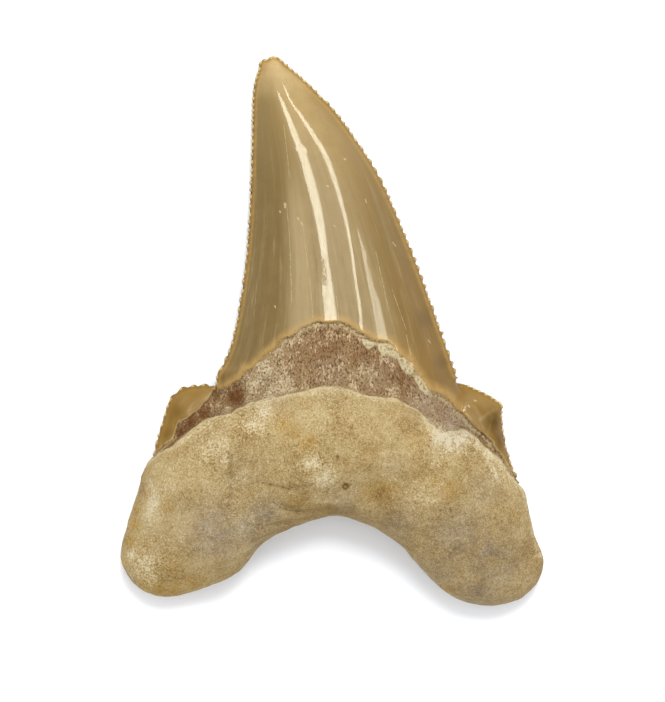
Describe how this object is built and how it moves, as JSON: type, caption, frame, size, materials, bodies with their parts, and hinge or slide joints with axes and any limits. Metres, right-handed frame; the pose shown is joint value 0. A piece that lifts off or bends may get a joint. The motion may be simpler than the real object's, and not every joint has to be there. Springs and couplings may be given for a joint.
{
  "type": "fossil shark tooth",
  "caption": "Fossil shark tooth with a leaning serrated crown, two side cusplets and a thick arched root, lying on its flatter face.",
  "frame": {"origin": "middle of the outline, on the surface that the tooth lies on", "axes": "+Y from the root to the tip of the crown, +X to the right with the crown up, +Z out of the rounded lingual face"},
  "size_m": [0.0582, 0.0762, 0.0153],
  "materials": {
    "fossil": "polished enamel on the crown, rough and matt on the root"
  },
  "bodies": {
    "root": {"tooth": "fossil"}
  },
  "joints": []
}
